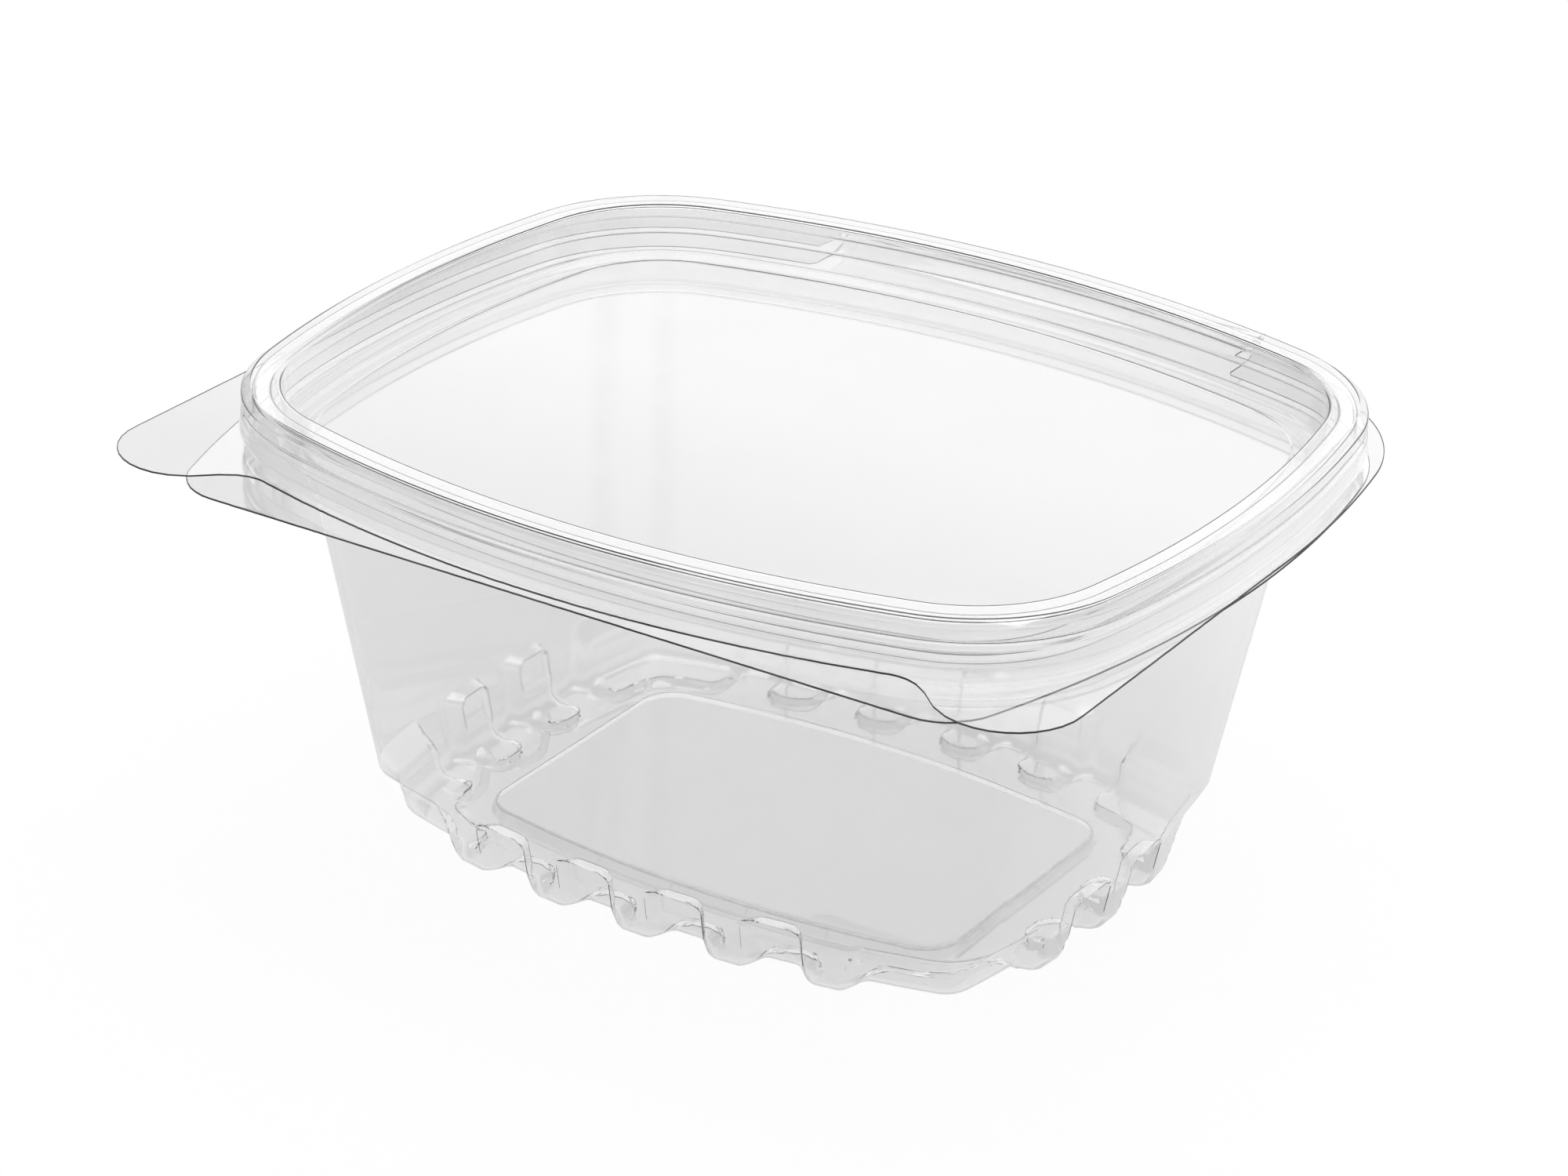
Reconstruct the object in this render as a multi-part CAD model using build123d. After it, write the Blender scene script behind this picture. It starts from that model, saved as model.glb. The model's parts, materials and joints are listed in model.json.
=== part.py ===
import math
import os

from build123d import *

# Clear hinged food container, formed from one plastic sheet: a tub and its lid, joined by a fold.
# Millimetres, +Z up, +X along the long side, pull tabs at the front (-Y), fold at the back (+Y).
# Heights are measured from the feet. The tub is drawn about its own centre and moved at the end.

# Sheet
SHEET = 0.4
BEND = 0.38
PLATE_LAP = 1.0

# Rim outline: four bowed sides and four corner arcs, taken at the outer edge of the lid's rim
RIM_HALF_LENGTH = 65.0
RIM_HALF_WIDTH = 54.8
LONG_SIDE_RADIUS = 163.6
SHORT_SIDE_RADIUS = 156.8
CORNER_RADIUS = 23.8

# Heights
RIM_TOP = 62.8
LID_PANEL = RIM_TOP - 6.7
LID_FLANGE = RIM_TOP - 6.0
TUB_FLANGE = RIM_TOP - 8.3
WALL_TOP = RIM_TOP - 10.0

# Lid rim, as insets from the rim outline
LID_SKIRT = -1.2
LID_GROOVE = -0.65
LID_BEAD = -1.1
LID_SKIRT_DROP = 3.7
LID_GROOVE_DROP = 3.15
LID_BEAD_DROP = 2.55
LID_SHOULDER_DROP = 0.95
LID_CROWN_INNER = 3.6
LID_PANEL_EDGE = 4.45

# Tub rim, nested in the lid rim with a running gap
TUB_SKIRT = 0.15
TUB_CROWN_OUTER = 0.35
TUB_CROWN_INNER = 2.4
TUB_CROWN_DROP = 0.95
TUB_LEDGE_OUTER = 3.55
TUB_LEDGE_DROP = 7.5

# Tub wall
WALL_TOP_INSET = 6.91
WALL_DRAFT = 0.194
FOOT_ROUNDING = 1.6

# Feet and the windows between them
FOOT_PITCH = 13.6
FOOT_WIDTH = 6.4
LONG_SIDE_FEET = 5
SHORT_SIDE_FEET = 3
WINDOW_TOP = 8.6
WINDOW_DEPTH = 2.0
WINDOW_CORNER = 2.2
SUNK_CORNER = 9.0
RIDGE_HEIGHT = 1.2
RIDGE_LENGTH = 7.0
MOAT_WIDTH = 4.5
MOAT_CORNER = 9.0

# Raised panel in the floor
FLOOR_PANEL_LENGTH = 70.6
FLOOR_PANEL_WIDTH = 48.8
FLOOR_PANEL_CORNER = 6.0
FLOOR_PANEL_RADIUS = 158.0
FLOOR_PANEL_DRAFT = 30.0
FLOOR_PANEL_RISE = 1.4

# How far cutting shapes reach below the feet
BELOW = 1.0

# Lid flange and its two pull tabs
LID_FLANGE_FRONT = 4.45
LID_FLANGE_REACH = 3.6
TAB_RADIUS = 9.4
TAB_X = 59.55
TAB_Y = -49.5
TAB_VALLEY = 5.0

# Tub flange
TUB_FLANGE_REACH = 1.9
TUB_FLANGE_FRONT = 56.9
TUB_FLANGE_CORNER = 5.0

# Fold at the back
HINGE_LENGTH = 65.4
HINGE_Y = 63.2
HINGE_Z = RIM_TOP - 6.3
HINGE_GAP = 0.3
HINGE_ROOT_Y = 58.8

# Frame: the centre of the closed container's footprint box
FRONT_REACH = RIM_HALF_WIDTH + LID_FLANGE_FRONT
BACK_REACH = HINGE_Y - HINGE_GAP
TUB_SHIFT = (FRONT_REACH - BACK_REACH) / 2


# Arcs of the rim outline, as (centre, radius, start angle, turn), counter-clockwise from the right side
def outline_arcs(inset, corner):
    long_radius = LONG_SIDE_RADIUS - inset
    short_radius = SHORT_SIDE_RADIUS - inset
    side_x = RIM_HALF_LENGTH - SHORT_SIDE_RADIUS
    side_y = RIM_HALF_WIDTH - LONG_SIDE_RADIUS
    reach_x = short_radius - corner
    reach_y = long_radius - corner
    span = math.hypot(side_x, side_y)
    along = (reach_x**2 - reach_y**2 + span**2) / (2 * span)
    across = math.sqrt(reach_x**2 - along**2)
    unit_x, unit_y = -side_x / span, side_y / span
    centre_x = side_x + along * unit_x - across * unit_y
    centre_y = along * unit_y + across * unit_x
    low = math.degrees(math.atan2(centre_y, centre_x - side_x))
    high = math.degrees(math.atan2(centre_y - side_y, centre_x))
    turn_corner = high - low
    turn_long = 2 * (90 - high)
    turn_short = 2 * low
    return [
        ((side_x, 0), short_radius, -low, turn_short),
        ((centre_x, centre_y), corner, low, turn_corner),
        ((0, side_y), long_radius, high, turn_long),
        ((-centre_x, centre_y), corner, 180 - high, turn_corner),
        ((-side_x, 0), short_radius, 180 - low, turn_short),
        ((-centre_x, -centre_y), corner, 180 + low, turn_corner),
        ((0, -side_y), long_radius, 180 + high, turn_long),
        ((centre_x, -centre_y), corner, 360 - high, turn_corner),
    ]


def outline(inset, height=0.0, corner=None):
    corner = CORNER_RADIUS - inset if corner is None else corner
    arcs = [
        CenterArc((*centre, height), radius, start, turn)
        for centre, radius, start, turn in outline_arcs(inset, corner)
    ]
    return make_face(arcs)


# A section of bent sheet from its middle line: both faces are offset and every bend is rounded
def sheet_section(points, end_cut=None):
    half = SHEET / 2
    count = len(points)
    steps = [Vector(*points[i + 1]) - Vector(*points[i]) for i in range(count - 1)]
    steps = [step.normalized() for step in steps]
    normals = [Vector(-step.Y, step.X) for step in steps]

    def face_line(sign):
        line = [Vector(*points[0]) + normals[0] * half * sign]
        radii = []
        for i in range(1, count - 1):
            mitre = (normals[i - 1] + normals[i]).normalized()
            stretch = half / mitre.dot(normals[i])
            line.append(Vector(*points[i]) + mitre * stretch * sign)
            turn_left = steps[i - 1].X * steps[i].Y - steps[i - 1].Y * steps[i].X > 0
            radii.append(BEND - half * sign if turn_left else BEND + half * sign)
        last = Vector(*points[-1]) + normals[-1] * half * sign
        if end_cut is not None:
            last = last + steps[-1] * ((end_cut - last.Y) / steps[-1].Y)
        line.append(last)
        return FilletPolyline(*line, radius=radii), line[0], line[-1]

    left, left_start, left_end = face_line(1)
    right, right_start, right_end = face_line(-1)
    return make_face([left, right, Line(left_start, right_start), Line(left_end, right_end)])


# Carries a section, drawn as (inset, height), round the whole rim outline
def around_rim(section):
    pieces = []
    for centre, radius, start, turn in outline_arcs(0.0, CORNER_RADIUS):
        angle = math.radians(start)
        radial = Vector(math.cos(angle), math.sin(angle))
        normal = radial.cross(Vector(0, 0, 1))
        rim_point = Vector(*centre) + radial * radius
        plane = Plane(origin=rim_point, x_dir=-radial, z_dir=-normal)
        pieces.append(revolve(plane * section, Axis((*centre, 0), (0, 0, 1)), turn))
    return Part() + pieces


def plate(face, height):
    return extrude(Pos(0, 0, height - SHEET / 2) * face, SHEET, dir=(0, 0, 1))


# Both halves of the fold: a tongue that slopes from its flange to the fold line
def hinge_tongue(flange_height):
    half = SHEET / 2
    side = 1 if flange_height > HINGE_Z else -1
    tip_z = HINGE_Z + side * HINGE_GAP
    profile = Polyline(
        (HINGE_ROOT_Y, flange_height - half),
        (BACK_REACH, tip_z - half),
        (BACK_REACH, tip_z + half),
        (HINGE_ROOT_Y, flange_height + half),
        close=True,
    )
    section = Plane.YZ * make_face(profile)
    return extrude(section, HINGE_LENGTH / 2, dir=(1, 0, 0), both=True)


def hinge_root(reach):
    depth = HINGE_ROOT_Y - RIM_HALF_WIDTH / 2
    strip = Rectangle(HINGE_LENGTH, depth, align=(Align.CENTER, Align.MAX))
    return outline(-reach) + Pos(0, HINGE_ROOT_Y) * strip


# Lid: crowned rim with two outer beads, recessed panel, flange, pull tabs and fold
def make_lid():
    rim = [
        (LID_SKIRT - PLATE_LAP, LID_FLANGE),
        (LID_SKIRT, LID_FLANGE),
        (LID_SKIRT, RIM_TOP - LID_SKIRT_DROP),
        (LID_GROOVE, RIM_TOP - LID_GROOVE_DROP),
        (LID_BEAD, RIM_TOP - LID_BEAD_DROP),
        (LID_BEAD, RIM_TOP - LID_SHOULDER_DROP),
        (0.0, RIM_TOP - SHEET / 2),
        (LID_CROWN_INNER, RIM_TOP - SHEET / 2),
        (LID_PANEL_EDGE, LID_PANEL),
        (LID_PANEL_EDGE + PLATE_LAP, LID_PANEL),
    ]
    panel = plate(outline(LID_PANEL_EDGE + PLATE_LAP), LID_PANEL)
    flange = plate(lid_flange_face() - outline(LID_SKIRT - PLATE_LAP), LID_FLANGE)
    return around_rim(sheet_section(rim)) + panel + flange + hinge_tongue(LID_FLANGE)


def lid_flange_face():
    face = hinge_root(LID_FLANGE_REACH)
    front_radius = LONG_SIDE_RADIUS + LID_FLANGE_FRONT
    front_disc = Pos(0, front_radius - FRONT_REACH) * Circle(front_radius)
    front_band = Pos(0, -RIM_HALF_WIDTH) * Rectangle(2 * TAB_X, RIM_HALF_WIDTH)
    face = face + (front_disc & front_band)
    for side in (-1, 1):
        tab = Pos(side * TAB_X, TAB_Y) * Circle(TAB_RADIUS)
        edge_x = side * (TAB_X + TAB_RADIUS)
        rear_x = side * (RIM_HALF_LENGTH + LID_FLANGE_REACH)
        strip = Polyline((side * TAB_X, 0), (rear_x, 0), (edge_x, TAB_Y), (side * TAB_X, TAB_Y), close=True)
        face = face + tab + make_face(strip)
    valleys = [v for v in face.vertices() if v.Y < TAB_Y and abs(v.X) < TAB_X - TAB_RADIUS / 2]
    return fillet(valleys, TAB_VALLEY)


# Tub: rim with a hollow crown, drafted wall, feet, floor, flange and fold
def make_tub():
    half_wall = SHEET / 2 * math.hypot(1, WALL_DRAFT)
    ledge = RIM_TOP - TUB_LEDGE_DROP
    rim = [
        (TUB_SKIRT - PLATE_LAP, TUB_FLANGE),
        (TUB_SKIRT, TUB_FLANGE),
        (TUB_CROWN_OUTER, RIM_TOP - TUB_CROWN_DROP),
        (TUB_CROWN_INNER, RIM_TOP - TUB_CROWN_DROP),
        (TUB_LEDGE_OUTER, ledge),
        (wall_inset(ledge) + half_wall, ledge),
        (WALL_TOP_INSET + half_wall, WALL_TOP),
    ]
    shell = tub_form(0.0) - tub_form(SHEET)
    flange = plate(tub_flange_face() - outline(TUB_SKIRT - PLATE_LAP), TUB_FLANGE)
    return around_rim(sheet_section(rim, WALL_TOP)) + shell + flange + hinge_tongue(TUB_FLANGE)


def tub_flange_face():
    side_radius = SHORT_SIDE_RADIUS + TUB_FLANGE_REACH
    side_x = RIM_HALF_LENGTH - SHORT_SIDE_RADIUS
    front = Pos(0, -TUB_FLANGE_FRONT / 2) * Rectangle(2 * side_radius, TUB_FLANGE_FRONT)
    front = front & Pos(side_x, 0) * Circle(side_radius) & Pos(-side_x, 0) * Circle(side_radius)
    corners = [v for v in front.vertices() if v.Y < -RIM_HALF_WIDTH]
    return hinge_root(TUB_FLANGE_REACH) + fillet(corners, TUB_FLANGE_CORNER)


def wall_inset(height):
    return WALL_TOP_INSET + WALL_DRAFT * (WALL_TOP - height)


# The filled tub below its rim, made smaller by shrink on every face, with windows and panel cut in
def tub_form(shrink):
    wall_shrink = shrink * math.hypot(1, WALL_DRAFT)
    foot = outline(wall_inset(shrink) + wall_shrink, shrink)
    top = outline(WALL_TOP_INSET + wall_shrink, WALL_TOP)
    form = Part() + loft([foot, top], ruled=True)
    bottom_edges = form.faces().sort_by(Axis.Z)[0].edges()
    form = fillet(bottom_edges, FOOT_ROUNDING - shrink)
    return form - windows(shrink) - floor_ridges(shrink) - floor_panel(shrink)


# Places along one side: where windows lie between feet, and where the last foot ends
def window_centres(foot_count):
    return [FOOT_PITCH * (i + 1 - foot_count / 2) for i in range(foot_count - 1)]


def feet_end(foot_count):
    return FOOT_PITCH * (foot_count - 1) / 2 + FOOT_WIDTH / 2


# One window seen square on, with rounded top corners
def window_face(centre, width, grow):
    height = WINDOW_TOP + grow + BELOW
    opening = Pos(centre, -BELOW) * Rectangle(width + 2 * grow, height, align=(Align.CENTER, Align.MIN))
    return fillet(opening.vertices().group_by(Axis.Y)[-1], WINDOW_CORNER + grow)


# Spaces sunk into the wall between the feet and at the four corners
def windows(grow):
    gap = FOOT_PITCH - FOOT_WIDTH
    reach = RIM_HALF_LENGTH
    facing_front = Plane.XZ
    facing_side = Plane.YZ
    sunk = Part()
    for x in window_centres(LONG_SIDE_FEET):
        sunk += extrude(facing_front * window_face(x, gap, grow), reach, both=True)
    for y in window_centres(SHORT_SIDE_FEET):
        sunk += extrude(facing_side * window_face(y, gap, grow), reach, both=True)
    end_x, end_y = feet_end(LONG_SIDE_FEET), feet_end(SHORT_SIDE_FEET)
    for side_x in (-1, 1):
        for side_y in (-1, 1):
            along_x = window_face(side_x * (end_x + reach / 2), reach, grow)
            along_y = window_face(side_y * (end_y + reach / 2), reach, grow)
            corner = extrude(facing_front * along_x, reach, both=True)
            sunk += corner & extrude(facing_side * along_y, reach, both=True)
    core_top = WINDOW_TOP + grow
    low = outline(wall_inset(-BELOW) + WINDOW_DEPTH + grow, -BELOW, SUNK_CORNER)
    high = outline(wall_inset(core_top) + WINDOW_DEPTH + grow, core_top, SUNK_CORNER)
    return sunk - loft([low, high], ruled=True)


# Ridges in the floor behind the windows: round-ended on the sides, stepped round the corners
def floor_ridges(grow):
    width = FOOT_PITCH - FOOT_WIDTH + 2 * grow
    foot_inset = wall_inset(0)
    ridges = Sketch()
    half_width = RIM_HALF_WIDTH - foot_inset
    half_length = RIM_HALF_LENGTH - foot_inset
    for x in window_centres(LONG_SIDE_FEET):
        edge = half_width - bow(x, LONG_SIDE_RADIUS - foot_inset)
        for turn in (0, 180):
            ridges += Rot(0, 0, turn) * Pos(x, edge) * ridge_face(width, grow)
    for y in window_centres(SHORT_SIDE_FEET):
        edge = half_length - bow(y, SHORT_SIDE_RADIUS - foot_inset)
        for turn in (90, 270):
            ridges += Rot(0, 0, turn) * Pos(y, edge) * ridge_face(width, grow)
    inner_x = FLOOR_PANEL_LENGTH / 2 + MOAT_WIDTH - grow
    inner_y = FLOOR_PANEL_WIDTH / 2 + MOAT_WIDTH - grow
    inside = RectangleRounded(2 * inner_x, 2 * inner_y, MOAT_CORNER)
    reach = RIM_HALF_LENGTH
    for side_x in (-1, 1):
        for side_y in (-1, 1):
            start_x = side_x * (feet_end(LONG_SIDE_FEET) - grow + reach / 2)
            start_y = side_y * (feet_end(SHORT_SIDE_FEET) - grow + reach / 2)
            ridges += Pos(start_x, start_y) * Rectangle(reach, reach) - inside
    return extrude(Pos(0, 0, -BELOW) * ridges, RIDGE_HEIGHT + grow + BELOW, dir=(0, 0, 1))


def bow(along, radius):
    return radius - math.sqrt(radius**2 - along**2)


def ridge_face(width, grow):
    round_end = Pos(0, width / 2 - RIDGE_LENGTH - grow) * Circle(width / 2)
    run = RIDGE_LENGTH + grow - width / 2 + RIDGE_LENGTH
    return round_end + Pos(0, RIDGE_LENGTH) * Rectangle(width, run, align=(Align.CENTER, Align.MAX))


# Raised panel in the middle of the floor, its long edges bowed like the walls
def floor_panel(grow):
    half_width = FLOOR_PANEL_WIDTH / 2 + grow
    radius = FLOOR_PANEL_RADIUS + grow
    face = Rectangle(FLOOR_PANEL_LENGTH + 2 * grow, 2 * half_width)
    for side in (-1, 1):
        face &= Pos(0, side * (half_width - radius)) * Circle(radius)
    face = fillet(face.vertices(), FLOOR_PANEL_CORNER + grow)
    top = FLOOR_PANEL_RISE + grow
    return extrude(Pos(0, 0, top) * face, top + BELOW, dir=(0, 0, -1), taper=-FLOOR_PANEL_DRAFT)


os.makedirs("parts", exist_ok=True)
place = Pos(0, TUB_SHIFT, 0)
pieces = {"tub": make_tub(), "hinged_lid": make_lid()}
for name, solid in pieces.items():
    export_step(place * solid, f"parts/{name}.step")
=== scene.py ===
import json
import math
from collections import namedtuple

import bmesh
import bpy
from mathutils import Matrix, Vector


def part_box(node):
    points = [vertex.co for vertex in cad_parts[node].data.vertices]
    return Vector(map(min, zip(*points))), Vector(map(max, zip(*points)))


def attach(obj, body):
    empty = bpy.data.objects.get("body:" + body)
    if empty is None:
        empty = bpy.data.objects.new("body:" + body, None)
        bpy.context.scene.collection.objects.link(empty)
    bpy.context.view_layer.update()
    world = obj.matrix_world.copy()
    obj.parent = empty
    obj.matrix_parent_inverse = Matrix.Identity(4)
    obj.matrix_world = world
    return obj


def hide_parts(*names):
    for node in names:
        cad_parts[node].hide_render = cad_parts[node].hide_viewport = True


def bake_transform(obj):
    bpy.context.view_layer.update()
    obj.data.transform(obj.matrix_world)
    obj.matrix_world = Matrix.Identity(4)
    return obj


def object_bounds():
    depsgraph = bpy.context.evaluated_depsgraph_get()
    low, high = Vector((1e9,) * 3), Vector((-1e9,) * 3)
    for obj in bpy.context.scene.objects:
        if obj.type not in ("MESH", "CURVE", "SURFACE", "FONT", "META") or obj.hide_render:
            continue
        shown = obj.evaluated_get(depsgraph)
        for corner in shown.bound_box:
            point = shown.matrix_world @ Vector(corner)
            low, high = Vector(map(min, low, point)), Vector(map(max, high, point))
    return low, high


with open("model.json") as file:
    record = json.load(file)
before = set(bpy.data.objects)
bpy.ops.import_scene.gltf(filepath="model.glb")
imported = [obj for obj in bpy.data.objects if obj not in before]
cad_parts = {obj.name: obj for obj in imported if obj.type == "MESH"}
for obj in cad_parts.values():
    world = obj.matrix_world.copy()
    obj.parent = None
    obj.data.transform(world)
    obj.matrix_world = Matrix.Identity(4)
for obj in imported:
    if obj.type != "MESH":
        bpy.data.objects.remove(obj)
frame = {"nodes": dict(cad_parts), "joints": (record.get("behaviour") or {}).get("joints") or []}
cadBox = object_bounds()
bpy.ops.object.select_all(action="DESELECT")  # the loaded solids come in selected
print("frame loaded with", sorted(frame["nodes"]))

mm = 0.001
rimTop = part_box("hinged_lid")[1].z / mm
hingeY, hingeZ = (value / mm for value in frame["joints"][0]["pos_m"][1:])

# Rim outline: bowed sides and corner arcs at the lid's outer edge, mm about the tub's centre
rim = dict(
    halfLength=65.0, halfWidth=54.8,
    longRadius=163.6, shortRadius=156.8, cornerRadius=23.8, cornerSteps=26,
    hingeReach=63.2,  # from the tub's centre back to the fold line
)
centreY = hingeY - rim["hingeReach"]

# A point of the rim outline, its outward direction, its side, and its place along that side at the foot
Spoke = namedtuple("Spoke", "base normal side along")


def clamp(value):
    return min(max(value, 0.0), 1.0)


def ease(value):
    value = clamp(value)
    return value * value * (3 - 2 * value)


# Arcs of the rim outline, counter-clockwise from the right side
def outlineArcs():
    sideX = rim["halfLength"] - rim["shortRadius"]
    sideY = rim["halfWidth"] - rim["longRadius"]
    reachX = rim["shortRadius"] - rim["cornerRadius"]
    reachY = rim["longRadius"] - rim["cornerRadius"]
    span = math.hypot(sideX, sideY)
    along = (reachX**2 - reachY**2 + span**2) / (2 * span)
    across = math.sqrt(reachX**2 - along**2)
    cornerX = sideX - along * sideX / span - across * sideY / span  # the corner arc touches both bowed sides
    cornerY = along * sideY / span - across * sideX / span
    low = math.atan2(cornerY, cornerX - sideX)
    high = math.atan2(cornerY - sideY, cornerX)
    quarter = math.pi / 2
    arcs = []
    for turn, side, centre, radius, half in (
        (0, "right", (sideX, 0), rim["shortRadius"], low),
        (1, "back", (0, sideY), rim["longRadius"], quarter - high),
        (2, "left", (-sideX, 0), rim["shortRadius"], low),
        (3, "front", (0, -sideY), rim["longRadius"], quarter - high),
    ):
        middle = turn * quarter
        arcs.append((side, Vector(centre), radius, middle, half))
        flipX = -1 if turn in (1, 2) else 1
        flipY = -1 if turn in (2, 3) else 1
        start = middle + half
        end = middle + quarter - (quarter - high if turn % 2 == 0 else low)
        corner = Vector((flipX * cornerX, flipY * cornerY))
        arcs.append(("corner", corner, rim["cornerRadius"], (start + end) / 2, (end - start) / 2))
    return arcs


# Places along one side, close together at the edges of feet
def sideStops(footCount, halfSpan):
    middleFoot = (footCount - 1) / 2
    marks = [-halfSpan]
    for k in range(footCount):
        footMiddle = feet["pitch"] * (k - middleFoot)
        marks += [footMiddle - feet["width"] / 2, footMiddle + feet["width"] / 2]
    marks.append(halfSpan)
    stops = [-halfSpan]
    for low, high in zip(marks, marks[1:]):
        middle = (high - low) / 2
        near = [gap for gap in feet["nearEdge"] if gap < middle]
        stops += [low + gap for gap in near] + [low + middle] + [high - gap for gap in reversed(near)]
    return stops


def rimSpokes():
    footInset = wallInset(0)
    spokes = []
    for side, centre, radius, middle, half in outlineArcs():
        if side == "corner":
            steps = rim["cornerSteps"]
            angles = [middle - half + 2 * half * k / steps for k in range(steps)]
        else:
            footRadius = radius - footInset
            stops = sideStops(feetOn(side), footRadius * math.sin(half))
            angles = [middle + math.asin(stop / footRadius) for stop in stops]
        for angle in angles:
            normal = Vector((math.cos(angle), math.sin(angle)))
            along = (radius - footInset) * math.sin(angle - middle)
            spokes.append(Spoke(centre + normal * radius, normal, side, along))
    return spokes


def ringAt(spokes, inset, height):
    return [(*(spoke.base - spoke.normal * inset), height) for spoke in spokes]


# The formed sheet, mm: drawn holds the share of its thickness left at rising heights
sheet = dict(
    thickness=0.32, drawn=[(0, 0.42), (50, 0.66), (57.5, 0.66), (60, 1.0)],
    # bend, its steps, then the width of the thin band beside the cut that is painted dark as painted shade,
    # mm
    bend=0.38, bendSteps=5, edgeShadeBand=0.1,
    smoothAngle=38,  # degrees
)


# A bent section from its corner points: every bend becomes a small arc
def bendSection(points, radius):
    line = [Vector(points[0])]
    for before, corner, after in zip(points, points[1:], points[2:]):
        corner = Vector(corner)
        back = (Vector(before) - corner).normalized()
        ahead = (Vector(after) - corner).normalized()
        turn = math.pi - back.angle(ahead)
        cut = radius * math.tan(turn / 2)
        centre = corner + (back + ahead).normalized() * (radius / math.cos(turn / 2))
        first = corner + back * cut - centre
        last = corner + ahead * cut - centre
        for k in range(sheet["bendSteps"] + 1):
            line.append(centre + first.lerp(last, k / sheet["bendSteps"]).normalized() * radius)
    line.append(Vector(points[-1]))
    return line


def drawnShare(height):
    stops = sheet["drawn"]
    for (low, lowShare), (high, highShare) in zip(stops, stops[1:]):
        if height <= high:
            return lowShare + (highShare - lowShare) * ease((height - low) / (high - low))
    return stops[-1][1]


# Half of the sheet's thickness at the floor: its middle surface stands this far up
def floorHalf():
    return sheet["thickness"] * drawnShare(0) / 2


# A sheet form: a circle, extruded ring by ring, filled, and given the sheet's thickness
def sweepSheet(name, rings, materials, highlightBands=()):
    bpy.ops.object.select_all(action="DESELECT")
    bpy.ops.mesh.primitive_circle_add(vertices=len(rings[0]), radius=rim["halfLength"] * mm)
    piece = bpy.context.object
    piece.name = name
    bpy.ops.object.mode_set(mode="EDIT")
    bpy.ops.mesh.select_all(action="SELECT")
    mesh = bmesh.from_edit_mesh(piece.data)
    order = mesh.verts.layers.int.new("spoke")
    for vert in mesh.verts:
        vert[order] = vert.index
    for k, ring in enumerate(rings):
        if k > 0:
            bpy.ops.mesh.extrude_edges_indiv()
        mesh = bmesh.from_edit_mesh(piece.data)
        order = mesh.verts.layers.int["spoke"]
        for vert in mesh.verts:
            if vert.select:
                x, y, z = ring[vert[order]]
                vert.co = Vector((x, y + centreY, z)) * mm
        bmesh.update_edit_mesh(piece.data)
    bpy.ops.mesh.edge_face_add()
    bpy.ops.mesh.select_all(action="SELECT")
    bpy.ops.mesh.normals_make_consistent(inside=False)
    bpy.ops.object.mode_set(mode="OBJECT")
    piece.data.attributes.remove(piece.data.attributes["spoke"])
    for material in materials:
        piece.data.materials.append(material)
    count = len(rings[0])
    for polygon in piece.data.polygons[:count]:
        polygon.material_index = len(materials) - 1  # a thin band beside the cut takes the last finish, painted dark as painted shade
    # bands of faces that take the painted highlight line
    for band in highlightBands:
        for polygon in piece.data.polygons[band * count:(band + 1) * count]:
            polygon.material_index = 1  # the second of three finishes, the painted highlight line
    thickenSheet(piece, sheet["thickness"])
    return piece


# Thickness, full at the rim and thinner where the sheet is drawn down to the floor
def thickenSheet(piece, thickness):
    drawn = piece.vertex_groups.new(name="drawn")
    for vert in piece.data.vertices:
        drawn.add([vert.index], drawnShare(vert.co.z / mm), "REPLACE")
    solid = piece.modifiers.new("thickness", "SOLIDIFY")
    solid.thickness = thickness * mm
    solid.offset = 0
    solid.use_even_offset = True
    solid.vertex_group = drawn.name
    solid.material_offset_rim = 1  # the cut edge takes the next finish, or the last
    bpy.ops.object.modifier_apply(modifier=solid.name)
    piece.vertex_groups.clear()
    bpy.ops.object.shade_smooth_by_angle(angle=math.radians(sheet["smoothAngle"]))
    print(piece.name, "has", len(piece.data.polygons), "faces")


# Flanges, mm: the walk that finds their outer edge, and the rings between edge and skirt
flanges = dict(step=0.05, farthest=24.0, tipSlack=0.1, ringShares=(0.92, 0.8, 0.64, 0.49, 0.3, 0.12))


# Signed distances, negative inside, for the flanges' outlines
def roundUnion(a, b, radius):
    return max(radius, min(a, b)) - math.hypot(max(radius - a, 0), max(radius - b, 0))


def roundOverlap(a, b, radius):
    return min(-radius, max(a, b)) + math.hypot(max(radius + a, 0), max(radius + b, 0))


def tongueDistance(x, y):
    return max(x - fold["length"] / 2, y - rim["hingeReach"] + fold["gap"], -y)


# Outer edge of a flange, met by walking each spoke inward
def flangeEdge(spokes, distance):
    edge = []
    for spoke in spokes:
        out = flanges["farthest"]
        while out > 0 and distance(spoke.base + spoke.normal * out, out) > 0:
            out -= flanges["step"]
        edge.append(spoke.base + spoke.normal * out)
    squareTongue(edge)
    return edge


# The tongue's two corners are set square, where two neighbouring spokes meet its side
def squareTongue(edge):
    halfLength = fold["length"] / 2
    tip = rim["hingeReach"] - fold["gap"]
    inside = [k for k, point in enumerate(edge) if point.y > tip - flanges["tipSlack"]]
    for end, beyond in ((inside[0], inside[0] - 1), (inside[-1], inside[-1] + 1)):
        side = math.copysign(halfLength, edge[end].x)
        edge[end] = Vector((side, tip))
        edge[beyond] = Vector((side, edge[beyond].y))


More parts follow.
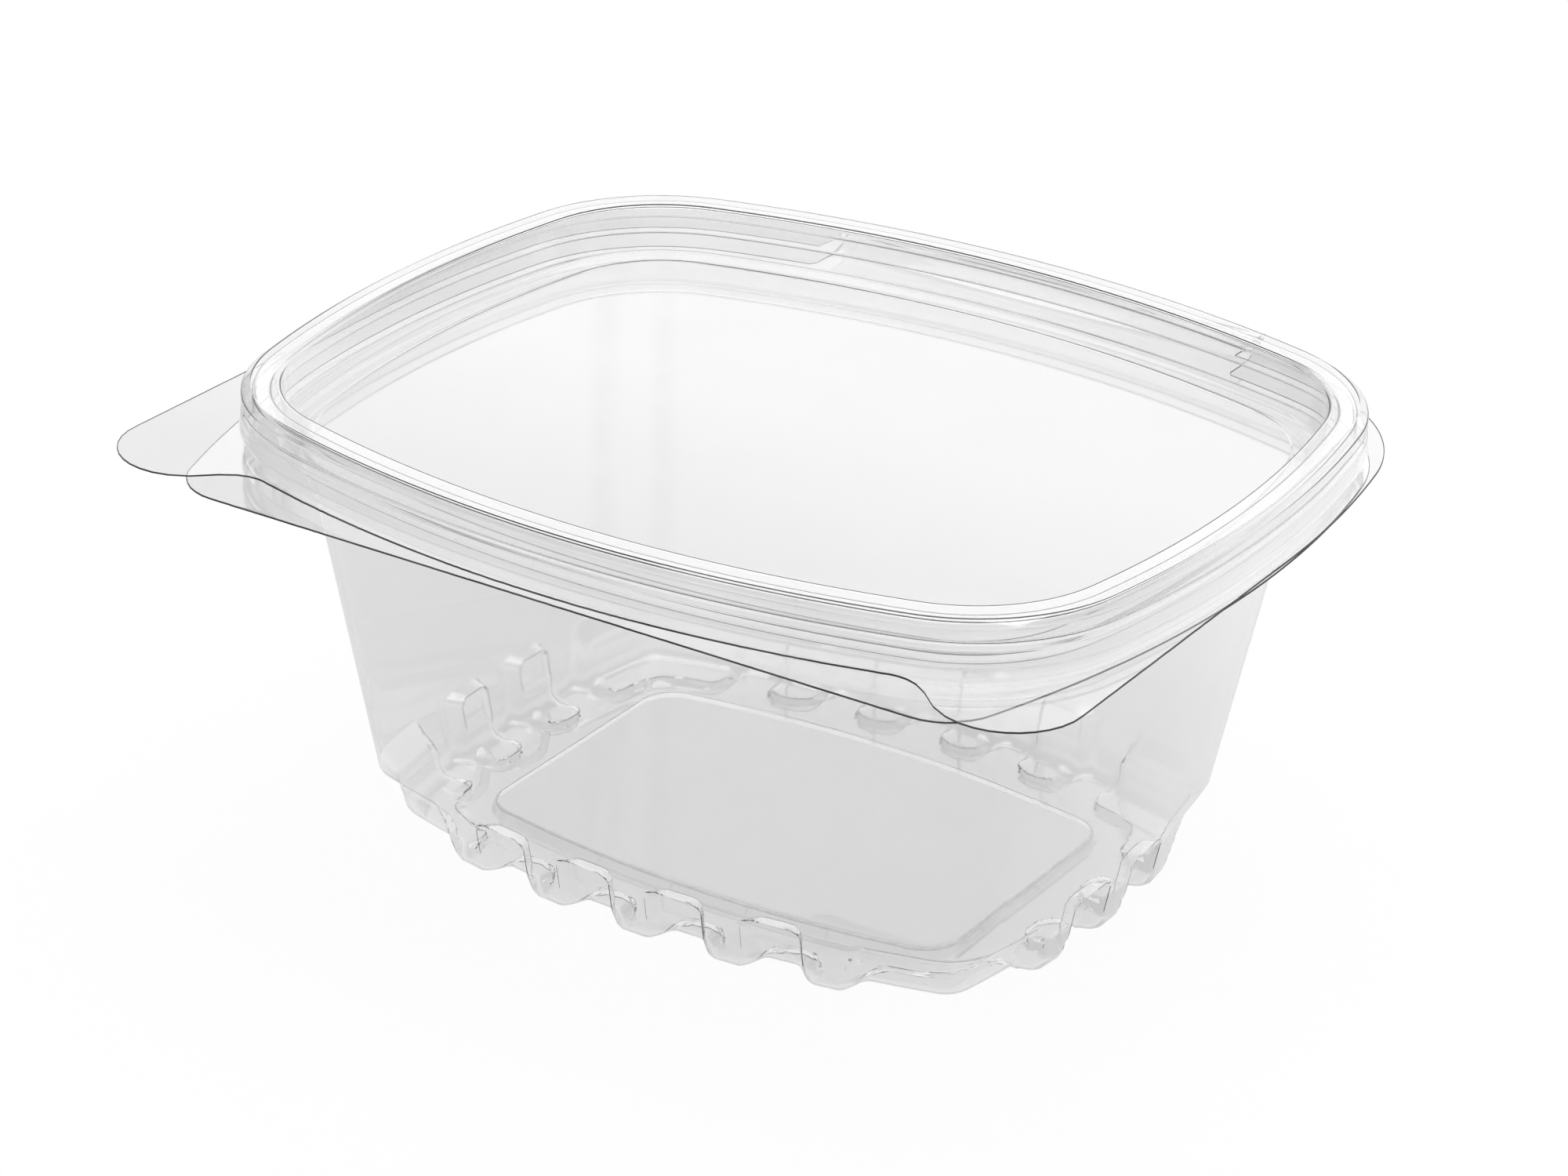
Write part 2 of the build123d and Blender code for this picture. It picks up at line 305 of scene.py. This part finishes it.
# Rings of a flange from its outer edge to the skirt; the tongue slopes to the fold
def flangeRings(spokes, distance, flange, tip, skirt):
    edge = flangeEdge(spokes, distance)
    tipReach = rim["hingeReach"] - fold["gap"]
    # the second row sets off the thin band beside the cut that is painted dark as painted shade
    rows = [(1.0, 0.0), (1.0, sheet["edgeShadeBand"])] + [(share, 0.0) for share in flanges["ringShares"]]
    rings = []
    for share, edgeShadeBand in rows:
        ring = []
        for spoke, outer in zip(spokes, edge):
            inner = spoke.base - spoke.normal * (skirt - sheet["bend"])
            point = inner.lerp(outer, share - edgeShadeBand / (outer - inner).length)
            onTongue = outer.y > tipReach - flanges["tipSlack"]
            slope = (point.y - fold["root"]) / (tipReach - fold["root"]) if onTongue else 0.0
            ring.append((*point, flange + (tip - flange) * clamp(slope)))
        rings.append(ring)
    return rings


# Lid section, mm: insets from the rim outline and drops below the rim's top
lid = dict(
    skirt=-1.2, groove=-0.65, bead=-1.1,
    skirtDrop=3.7, grooveDrop=3.15, beadDrop=2.55, shoulderDrop=0.95,
    crownInner=3.6, panelEdge=4.45, panelDrop=6.7,
    flangeDrop=6.0, reach=3.6, frontReach=4.45,
    step=0.09, stepInset=7.9, stepRun=0.3, stepBend=0.3, stepBefore=1.0, stepAfter=2.0,
)
pullTab = dict(x=59.55, y=-49.5, radius=9.4, valley=5.0)


def lidFlangeDistance(point, out):
    x, y = abs(point.x), point.y
    frontRadius = rim["longRadius"] + lid["frontReach"]
    frontReach = rim["halfWidth"] + lid["frontReach"]
    front = math.hypot(x, y - frontRadius + frontReach) - frontRadius
    tab = math.hypot(x - pullTab["x"], y - pullTab["y"]) - pullTab["radius"]
    body = out - lid["reach"]
    if y < pullTab["y"]:
        body = min(body, tab) if x > pullTab["x"] else roundUnion(front, tab, pullTab["valley"])
    elif y < 0:
        rear = Vector((rim["halfLength"] + lid["reach"], 0))  # a straight edge runs from here to the tab
        edge = Vector((pullTab["x"] + pullTab["radius"], pullTab["y"])) - rear
        body = min(body, ((x - rear.x) * -edge.y + (y - rear.y) * edge.x) / edge.length)
    return min(body, tongueDistance(x, y))


# Lid: flange with pull tabs, beaded skirt, crown, inner leg and recessed panel
def makeLid(spokes):
    flange = rimTop - lid["flangeDrop"]
    panel = rimTop - lid["panelDrop"]
    ledge = panel + lid["step"]
    crown = rimTop - sheet["thickness"] / 2
    section = bendSection([
        (lid["skirt"] - sheet["bend"], flange),
        (lid["skirt"], flange),
        (lid["skirt"], rimTop - lid["skirtDrop"]),
        (lid["groove"], rimTop - lid["grooveDrop"]),
        (lid["bead"], rimTop - lid["beadDrop"]),
        (lid["bead"], rimTop - lid["shoulderDrop"]),
        (0.0, crown),
        (lid["crownInner"], crown),
        (lid["panelEdge"], ledge),
        (lid["panelEdge"] + 2 * sheet["bend"], ledge),
    ], sheet["bend"])
    stepEnd = lid["stepInset"] + lid["stepRun"]
    section += bendSection([
        (lid["stepInset"] - lid["stepBefore"], ledge),
        (lid["stepInset"], ledge),
        (stepEnd, panel),
        (stepEnd + lid["stepAfter"], panel),
    ], lid["stepBend"])
    rings = flangeRings(spokes, lidFlangeDistance, flange, hingeZ + fold["gap"], lid["skirt"])
    rings += [ringAt(spokes, inset, height) for inset, height in section[1:]]
    return sweepSheet("lidSheet", rings, [formedPlastic("lidClear", clear), formedPlastic("lidCutShade", shadedCutEdge)])


# Tub section, mm: insets from the rim outline and drops below the rim's top
tub = dict(
    skirt=0.15, crownOuter=0.35, crownInner=2.4, crownDrop=0.95,
    ledge=3.55, ledgeDrop=7.5,
    wallTop=6.91, wallTopDrop=10.0, draft=0.194,
    flangeDrop=8.3, reach=1.9, front=56.9, corner=5.0,
)

# Feet at the bottom of the wall and the windows sunk between them, mm
feet = dict(
    pitch=13.6, width=6.4, longSide=5, shortSide=3, rounding=2.3,
    windowTop=8.6, windowCorner=2.2, depth=2.1, sinkRun=6.5,
    ridge=1.0, ridgeReach=7.0, ridgeLift=2.5, moat=4.5,
    edge=0.5, soleEdge=1.7, soleRise=4.5, padRise=2.2,
    topSharpness=2.4, cornerSharpness=0.4, creaseRun=2.6,
    nearEdge=(0.2, 0.55, 1.0, 1.6, 2.4),
)

# Raised panel in the floor, mm
floorPanel = dict(
    halfLength=35.3, halfWidth=24.4, corner=6.0, bow=158.0,
    rise=1.4, slope=0.55, bend=0.34,
    before=0.8, line=1.2, flat=4.0,  # sheet before the side, then on top of it
)

# Rows of the tub's mesh: heights on the wall, mm, and shares of the way from the foot to the floor panel
tubRows = dict(
    heights=(44, 36, 28, 20, 14, 11, 9.6, 9.0, 8.8, 8.6, 8.4, 8.2, 7.7, 7.2, 6.6, 6.1, 5.5, 4.8, 4.1, 3.4),
    floorShares=(0.05, 0.11, 0.17, 0.24, 0.31, 0.38, 0.45, 0.52, 0.59, 0.66, 0.74, 0.83, 0.92),
    slopeHeight=10, armCuts=3, leastRise=0.01,  # for the rounding at the foot
)


def tubFlangeDistance(point, out):
    x, y = abs(point.x), point.y
    sideRadius = rim["shortRadius"] + tub["reach"]
    side = math.hypot(x - rim["halfLength"] + rim["shortRadius"], y) - sideRadius
    body = out - tub["reach"]
    if y < 0:
        body = min(body, roundOverlap(-tub["front"] - y, side, tub["corner"]))
    return min(body, tongueDistance(x, y))


# Inset of the wall's outer face at a height, and of the middle of its sheet
def wallInset(height):
    top = rimTop - tub["wallTopDrop"]
    return tub["wallTop"] + tub["draft"] * (top - height)


def wallMiddle(height):
    return wallInset(height) + floorHalf()


def feetOn(side):
    return feet["longSide"] if side in ("front", "back") else feet["shortSide"]


# Place along a side where its last foot ends
def lastFootEdge(side):
    return feet["pitch"] * (feetOn(side) - 1) / 2 + feet["width"] / 2


# Distance to the edge of a window or its ridge, negative inside; a rise below zero runs in along the floor
def windowDistance(spoke, rise, cornerReach):
    halfGap = (feet["pitch"] - feet["width"]) / 2
    lastEdge = lastFootEdge(spoke.side)
    place = abs(spoke.along)
    above = rise - feet["windowTop"]
    if spoke.side == "corner" or place > lastEdge - feet["width"] / 2:
        aside = -math.inf if spoke.side == "corner" else lastEdge - place
        across = -rise - cornerReach if rise < 0 else above * feet["cornerSharpness"] + feet["edge"]
        return roundOverlap(aside, across, feet["windowCorner"])
    cell = (place / feet["pitch"] + (feetOn(spoke.side) - 1) / 2) % 1.0 - 0.5
    aside = abs(cell * feet["pitch"]) - halfGap
    if rise < 0:
        tip = feet["ridgeReach"] - halfGap
        return max(aside, math.hypot(aside + halfGap, max(-rise - tip, 0)) - halfGap)
    return roundOverlap(aside, above * feet["topSharpness"], feet["windowCorner"])


# Share of a window's full depth at a place; its edge is soft and broad at the sole, crisp higher up
def windowMask(spoke, rise, cornerReach):
    nearSole = ease(1 - rise / feet["soleRise"] if rise > 0 else 1 + rise / feet["padRise"])
    edge = feet["edge"] + (feet["soleEdge"] - feet["edge"]) * nearSole
    share = 0.5 - windowDistance(spoke, rise, cornerReach) / (2 * edge)
    crease = cornerCrease(spoke) * ease(rise - feet["soleRise"])
    return ease(share) * (1 - crease) + clamp(share) * crease


# How far a place has come round into a corner, where the wall breaks into the window at a crisp crease
def cornerCrease(spoke):
    if spoke.side == "corner":
        return 1.0
    return ease((abs(spoke.along) - lastFootEdge(spoke.side)) / feet["creaseRun"])


# The floor panel's outer edge: for each spoke a point and the outward direction there
def panelEdge(spokes):
    halfLength = floorPanel["halfLength"] + floorPanel["slope"]
    halfWidth = floorPanel["halfWidth"] + floorPanel["slope"]
    bow = floorPanel["bow"]
    straightX = halfLength - floorPanel["corner"]
    bowDrop = bow - math.sqrt(bow**2 - straightX**2)
    straightY = halfWidth - bowDrop - floorPanel["corner"]
    low = math.atan2(straightY, rim["halfLength"] - wallInset(0))
    high = math.atan2(rim["halfWidth"] - wallInset(0), straightX)
    edge = []
    for spoke in spokes:
        foot = spoke.base - spoke.normal * wallInset(0)
        signX, signY = math.copysign(1, foot.x), math.copysign(1, foot.y)
        if spoke.side in ("front", "back") and abs(foot.x) <= straightX:
            y = halfWidth - bow + math.sqrt(bow**2 - foot.x**2)
            point = Vector((foot.x, signY * y))
            normal = Vector((foot.x / bow, signY)).normalized()
        elif spoke.side in ("left", "right") and abs(foot.y) <= straightY:
            point = Vector((signX * halfLength, foot.y))
            normal = Vector((signX, 0))
        else:
            share = (math.atan2(abs(foot.y), abs(foot.x)) - low) / (high - low)
            angle = clamp(share) * math.pi / 2
            normal = Vector((signX * math.cos(angle), signY * math.sin(angle)))
            point = Vector((signX * straightX, signY * straightY)) + normal * floorPanel["corner"]
        edge.append((point, normal))
    return edge


# Tub: flange, hollow rim, drafted wall with its windows, feet, floor and panel
def makeTub(spokes):
    flange = rimTop - tub["flangeDrop"]
    ledge = rimTop - tub["ledgeDrop"]
    crown = rimTop - tub["crownDrop"]
    wallTop = rimTop - tub["wallTopDrop"]
    section = bendSection([
        (tub["skirt"] - sheet["bend"], flange),
        (tub["skirt"], flange),
        (tub["crownOuter"], crown),
        (tub["crownInner"], crown),
        (tub["ledge"], ledge),
        (wallMiddle(ledge), ledge),
        (wallMiddle(wallTop), wallTop),
    ], sheet["bend"])
    rings = flangeRings(spokes, tubFlangeDistance, flange, hingeZ - fold["gap"], tub["skirt"])
    rings += [ringAt(spokes, inset, height) for inset, height in section[1:]]
    rings += wallRings(spokes)
    panelTop = len(rings) - sheet["bendSteps"] - 3  # the panel's top bend ends two rings before the last
    panelLine = range(panelTop, panelTop + sheet["bendSteps"])
    # the panel's top bend takes a painted highlight line
    finishes = [("tubClear", clear), ("tubHighlight", paintedHighlight), ("tubCutShade", shadedCutEdge)]
    return sweepSheet("tubSheet", rings, [formedPlastic(*finish) for finish in finishes], panelLine)


# Foot rounding in section: the corner it replaces, its reach from there, and its points from wall to floor
def footRounding():
    corner = Vector((wallMiddle(floorHalf()), floorHalf()))
    upper = tubRows["slopeHeight"]
    upWall = (Vector((wallMiddle(upper), upper)) - corner).normalized()
    turn = math.pi / 2 + math.asin(upWall.x)
    cut = feet["rounding"] * math.tan((math.pi - turn) / 2)
    wallArm = corner + upWall * tubRows["armCuts"] * cut
    floorArm = corner + Vector((tubRows["armCuts"] * cut, 0))
    return corner, cut, bendSection([wallArm, corner, floorArm], feet["rounding"])[1:-1]


# One ring of the wall or foot, sunk into the windows and lifted over their ridges
def windowRing(spokes, cornerReach, inset, height, rise, lift):
    ring = []
    for spoke, reach in zip(spokes, cornerReach):
        mask = windowMask(spoke, rise, reach)
        point = spoke.base - spoke.normal * (inset + feet["depth"] * mask)
        ring.append((*point, height + feet["ridge"] * mask * lift))
    return ring


# Rings down the wall, round the foot and in along the floor to its panel
def wallRings(spokes):
    half = floorHalf()
    corner, cut, arc = footRounding()
    edge = panelEdge(spokes)
    floorStart = [spoke.base - spoke.normal * (corner.x + cut) for spoke in spokes]
    runs = [(point - start).length for start, (point, normal) in zip(floorStart, edge)]
    cornerReach = [cut + run - feet["moat"] for run in runs]
    rings = []
    for height in tubRows["heights"]:
        lift = ease((cut + feet["ridgeLift"] - height) / feet["ridgeLift"])
        rings.append(windowRing(spokes, cornerReach, wallMiddle(height), height, height, lift))
    for point in arc:
        rise = max(point.y - half, tubRows["leastRise"])
        rings.append(windowRing(spokes, cornerReach, point.x, point.y, rise, 1.0))
    for share in tubRows["floorShares"]:
        ring = []
        for k, spoke in enumerate(spokes):
            mask = windowMask(spoke, -cut - runs[k] * share, cornerReach[k])
            sink = feet["depth"] * mask * ease(1 - share * runs[k] / feet["sinkRun"])
            point = floorStart[k].lerp(edge[k][0], share) - spoke.normal * sink
            ring.append((*point, half + feet["ridge"] * mask))
        rings.append(ring)
    return rings + panelRings(edge)


# Rings of the floor panel, up its side and onto the flat
def panelRings(edge):
    low = floorHalf()
    top = low + floorPanel["rise"]
    slope = floorPanel["slope"]
    section = bendSection([
        (-floorPanel["before"], low),
        (0, low),
        (slope, top),
        (slope + floorPanel["line"], top),
    ], floorPanel["bend"])[1:]
    section.append((slope + floorPanel["flat"], top))
    return [[(*(point - normal * inward), height) for point, normal in edge] for inward, height in section]


# Fold at the back, mm
fold = dict(length=65.4, gap=0.3, root=58.8, thickness=0.3, lap=0.06, steps=10, weld=0.01)


# Fold: a thin film that wraps from the lid's tongue to the tub's
def makeFold():
    tip = hingeY - fold["gap"]
    lapMiddle = (tip + fold["lap"] / 2) * mm
    bpy.ops.object.select_all(action="DESELECT")
    bpy.ops.mesh.primitive_plane_add(size=1)
    piece = bpy.context.object
    piece.name = "foldFilm"
    bpy.ops.object.mode_set(mode="EDIT")
    bpy.ops.mesh.select_all(action="SELECT")
    bpy.ops.transform.resize(value=(fold["length"] * mm, fold["lap"] * mm, 1))
    bpy.ops.transform.translate(value=(0, lapMiddle, (hingeZ + fold["gap"]) * mm))
    bpy.ops.mesh.select_all(action="DESELECT")
    bpy.ops.mesh.select_mode(type="EDGE")
    mesh = bmesh.from_edit_mesh(piece.data)
    for edge in mesh.edges:
        edge.select_set(all(vert.co.y > lapMiddle for vert in edge.verts))
    bmesh.update_edit_mesh(piece.data)
    axis = (0, (tip + fold["lap"]) * mm, hingeZ * mm)
    bpy.ops.mesh.spin(steps=fold["steps"], angle=math.pi, center=axis, axis=(1, 0, 0))
    bpy.ops.mesh.extrude_region_move(TRANSFORM_OT_translate={"value": (0, -fold["lap"] * mm, 0)})
    bpy.ops.mesh.select_all(action="SELECT")
    bpy.ops.mesh.remove_doubles(threshold=fold["weld"] * mm)
    bpy.ops.mesh.normals_make_consistent(inside=False)
    bpy.ops.object.mode_set(mode="OBJECT")
    thickenSheet(piece, fold["thickness"])
    piece.data.materials.append(formedPlastic("foldClear", clear))
    return piece


# One socket of a shader; sums on it add Math nodes, and add() makes any other node
class Wire:
    def __init__(self, tree, socket=None):
        self.tree = tree
        self.socket = socket

    def add(self, kind, settings, inputs, output=0):
        node = self.tree.nodes.new(kind)
        for name, value in settings.items():
            if name == "stops":
                ramp = node.color_ramp
                while len(ramp.elements) < len(value):
                    ramp.elements.new(1.0)
                for element, (place, grey) in zip(ramp.elements, value):
                    element.position = place
                    element.color = (grey, grey, grey, 1)
            else:
                setattr(node, name, value)
        for name, value in inputs.items():
            if isinstance(value, Wire):
                self.tree.links.new(value.socket, node.inputs[name])
            else:
                node.inputs[name].default_value = value
        return Wire(self.tree, node.outputs[output] if node.outputs else None)

    def maths(self, operation, first, second):
        return self.add("ShaderNodeMath", {"operation": operation}, {0: first, 1: second})

    def __add__(self, other):
        return self.maths("ADD", self, other)

    def __mul__(self, other):
        return self.maths("MULTIPLY", self, other)

    __radd__ = __add__
    __rmul__ = __mul__


def newMaterial(name):
    material = bpy.data.materials.new(name)
    material.use_nodes = True
    material.node_tree.nodes.clear()
    return material, Wire(material.node_tree)


def noise(wire, place, scale, detail):
    return wire.add("ShaderNodeTexNoise", {}, {"Vector": place, "Scale": scale, "Detail": detail})


# A grey ramp through tones at rising places
def greyRamp(wire, value, places, tones):
    return wire.add("ShaderNodeValToRGB", {"stops": list(zip(places, tones))}, {"Fac": value})


# Finishes: tones and gloss follow one mottled noise, seeThrough is the share of light let through
glossSpan = (0.3, 0.7)  # the part of the noise that the gloss runs over

# Clear formed sheet: faint cloud in tint and gloss, and the slow ripple a drawn sheet keeps
clear = dict(
    tones=(0.98, 0.995), toneSpan=(0.3, 0.7), gloss=(0.01, 0.04), mottle=(90.0, 3.0),
    ior=1.5, seeThrough=1.0, shine=0.5,
    ripple=0.06, rippleNoise=(30.0, 1.0), grain=0.0015, grainNoise=(420.0, 2.0),
    bumpStrength=0.25, bumpDepth=0.4,  # depth in mm
)

# Sheared edge of the sheet: painted near-black as painted shade for the dark line along the cut, and matt
# from the cutting die
shadedCutEdge = dict(
    tones=(0.02, 0.09), toneSpan=(0.35, 0.65), gloss=(0.25, 0.45), mottle=(160.0, 4.0),
    ior=1.5, seeThrough=0.15, shine=0.1,
)

# White line along the floor panel's top bend: a painted highlight, pale and rough, letting little light
# through
paintedHighlight = dict(
    tones=(0.86, 0.97), toneSpan=(0.35, 0.65), gloss=(0.35, 0.65), mottle=(700.0, 3.0),
    ior=1.5, seeThrough=0.1, shine=0.5,
)


def formedPlastic(name, finish):
    material, wire = newMaterial(name)
    place = wire.add("ShaderNodeTexCoord", {}, {}, "Object")
    mottle = noise(wire, place, *finish["mottle"])
    lowGloss, highGloss = finish["gloss"]
    sockets = {
        "Base Color": greyRamp(wire, mottle, finish["toneSpan"], finish["tones"]),
        "Roughness": wire.add("ShaderNodeMapRange", {}, {
            "Value": mottle, "From Min": glossSpan[0], "From Max": glossSpan[1],
            "To Min": lowGloss, "To Max": highGloss}),
        "IOR": finish["ior"],
        "Transmission Weight": finish["seeThrough"],
        "Specular IOR Level": finish["shine"],
    }
    if "ripple" in finish:
        sockets["Normal"] = sheetRipple(wire, place, finish)
    surface = wire.add("ShaderNodeBsdfPrincipled", {}, sockets)
    wire.add("ShaderNodeOutputMaterial", {}, {"Surface": surface})
    return material


def sheetRipple(wire, place, finish):
    slow = noise(wire, place, *finish["rippleNoise"])
    grain = noise(wire, place, *finish["grainNoise"])
    relief = slow * finish["ripple"] + grain * finish["grain"]
    return wire.add("ShaderNodeBump", {}, {
        "Height": relief, "Strength": finish["bumpStrength"], "Distance": finish["bumpDepth"] * mm})


# Pale floor: white to the camera and to reflections; rays through the plastic see a painted grey, with a
# painted shadow under the tub and painted light making it paler towards the back
paleFloor = dict(
    size=8.0, drop=0.2,  # metres across, mm below the feet
    greys=(0.92, 0.94), speckle=(300.0, 2.0),
    # painted grey seen through the plastic, and a darker painted shadow in an oval under the tub
    paintedThroughGrey=0.69, paintedShadowUnderTub=0.56, footprint=(48, 38), footprintSpan=(0.42, 0.62),
    behind=(50, 115), paintedBackLight=0.15,  # mm back from the centre, and how much paler the painted light makes it there
    keepShadow=0.05, seenThrough=0.95,
)
white = (1, 1, 1, 1)


def makeFloor():
    bpy.ops.object.select_all(action="DESELECT")
    height = cadBox[0].z - paleFloor["drop"] * mm
    bpy.ops.mesh.primitive_plane_add(size=paleFloor["size"], location=(0, 0, height))
    floor = bpy.context.object
    floor.name = "floor"
    material, wire = newMaterial("paleFloor")
    toCamera = wire.add("ShaderNodeLightPath", {}, {}, "Is Camera Ray")
    through = wire.add("ShaderNodeLightPath", {}, {}, "Is Transmission Ray")
    mirrored = wire.add("ShaderNodeLightPath", {}, {}, "Is Glossy Ray")
    place = wire.add("ShaderNodeTexCoord", {}, {}, "Object")
    paper = greyRamp(wire, noise(wire, place, *paleFloor["speckle"]), (0.0, 1.0), paleFloor["greys"])
    matte = wire.add("ShaderNodeBsdfDiffuse", {}, {"Color": paper})
    # painted shadow: the grey darkens in an oval under the tub
    spread = [1 / (2 * size * mm) for size in paleFloor["footprint"]]
    beside = wire.add("ShaderNodeVectorMath", {"operation": "MULTIPLY"}, {0: place, 1: (*spread, 0)})
    apart = wire.add("ShaderNodeVectorMath", {"operation": "LENGTH"}, {0: beside}, "Value")
    shade = greyRamp(wire, apart, paleFloor["footprintSpan"], (paleFloor["paintedShadowUnderTub"], paleFloor["paintedThroughGrey"]))
    depth = wire.add("ShaderNodeSeparateXYZ", {}, {"Vector": place}, "Y")
    near, far = (reach * mm for reach in paleFloor["behind"])
    # painted light: the grey pales towards the back
    lift = wire.add("ShaderNodeMapRange", {}, {
        "Value": depth, "From Min": near, "From Max": far, "To Max": paleFloor["paintedBackLight"]})
    # rays through the plastic see the painted grey with its painted shadow and light; other rays see white
    tone = wire.add("ShaderNodeMix", {"data_type": "RGBA"}, {0: through, 6: white, 7: shade + lift}, 2)
    glow = wire.add("ShaderNodeEmission", {}, {"Color": tone, "Strength": 1.0})
    shown = toCamera * (1 - paleFloor["keepShadow"]) + (through + mirrored) * paleFloor["seenThrough"]
    surface = wire.add("ShaderNodeMixShader", {}, {0: shown, 1: matte, 2: glow})
    wire.add("ShaderNodeOutputMaterial", {}, {"Surface": surface})
    floor.data.materials.append(material)


# Room that the plastic reflects: tones from floor to ceiling, a darker left side, and two dark bars
room = dict(
    tones=[(0.5, 1.0), (0.6, 1.4), (0.76, 1.4), (0.84, 0.3), (0.94, 0.3), (1.0, 1.2)],
    darkSide=0.75, darkSpan=(0.8, 0.95),
    bars=[(0.36, 1.0), (0.39, 0.86), (0.42, 0.9), (0.46, 1.02),
          (0.54, 1.02), (0.57, 0.88), (0.6, 0.9), (0.64, 1.0)],
    barsFrom=-36.3, barsTo=-32.1,  # degrees
)


def makeWorld():
    world = bpy.data.worlds.new("studio")
    bpy.context.scene.world = world
    world.use_nodes = True
    world.node_tree.nodes.clear()
    wire = Wire(world.node_tree)
    toCamera = wire.add("ShaderNodeLightPath", {}, {}, "Is Camera Ray")
    direction = wire.add("ShaderNodeTexCoord", {}, {}, "Generated")
    east, north, rise = (wire.add("ShaderNodeSeparateXYZ", {}, {"Vector": direction}, axis) for axis in "XYZ")
    height = rise * 0.5 + 0.5  # -1 to 1 becomes 0 to 1
    aside = east * -0.5 + 0.5
    tall = greyRamp(wire, height, *zip(*room["tones"]))
    dark = greyRamp(wire, aside, room["darkSpan"], (1.0, 1 - room["darkSide"]))
    low, high = (math.radians(room[name]) for name in ("barsFrom", "barsTo"))
    turn = wire.add("ShaderNodeMapRange", {}, {
        "Value": wire.maths("ARCTAN2", east, north), "From Min": low, "From Max": high})
    bars = greyRamp(wire, turn, *zip(*room["bars"]))
    lit = tall * dark * bars
    shown = wire.add("ShaderNodeMix", {"data_type": "RGBA"}, {0: toCamera, 6: lit, 7: white}, 2)
    sky = wire.add("ShaderNodeBackground", {}, {"Color": shown, "Strength": 1.0})
    wire.add("ShaderNodeOutputWorld", {}, {"Surface": sky})


# Soft lamps: name, place in metres, size, power
lamps = dict(overhead=((-0.05, 0.28, 0.9), 0.8, 5.0))


def makeLamps():
    for name, (place, size, power) in lamps.items():
        bpy.ops.object.light_add(type="AREA", location=place)
        lamp = bpy.context.object
        lamp.name = name
        lamp.data.size = size
        lamp.data.energy = power
        lamp.rotation_euler = (-Vector(place)).to_track_quat("-Z", "Y").to_euler()


# Camera at the photograph's angle: degrees, mm, and the point it looks at
shot = dict(
    azimuth=32.2552, elevation=25.5291, roll=1.5768, distance=636.302, lens=113.3567,
    target=(-0.955, -4.182, 35.138), clipStart=10,
)


def makeCamera():
    azimuth, elevation, roll = (math.radians(shot[name]) for name in ("azimuth", "elevation", "roll"))
    level = math.cos(elevation)
    back = Vector((math.sin(azimuth) * level, -math.cos(azimuth) * level, math.sin(elevation)))
    right = Vector((math.cos(azimuth), math.sin(azimuth), 0))
    up = back.cross(right)
    rolledRight = right * math.cos(roll) + up * math.sin(roll)
    rolledUp = up * math.cos(roll) - right * math.sin(roll)
    bpy.ops.object.camera_add()
    camera = bpy.context.object
    camera.data.lens = shot["lens"]
    camera.data.clip_start = shot["clipStart"] * mm
    turned = Matrix((rolledRight, rolledUp, back)).transposed().to_4x4()
    turned.translation = (Vector(shot["target"]) + back * shot["distance"]) * mm
    camera.matrix_world = turned
    bpy.context.scene.camera = camera


spokes = rimSpokes()
print("rim has", len(spokes), "spokes")

tubSheet = makeTub(spokes)
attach(tubSheet, "tub")
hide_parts("tub")

lidSheet = makeLid(spokes)
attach(lidSheet, "lid")
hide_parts("hinged_lid")

foldFilm = makeFold()
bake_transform(foldFilm)
print("pieces modelled")

makeFloor()
makeWorld()
makeLamps()
makeCamera()
bpy.context.scene.view_settings.view_transform = "Standard"
print("studio set")
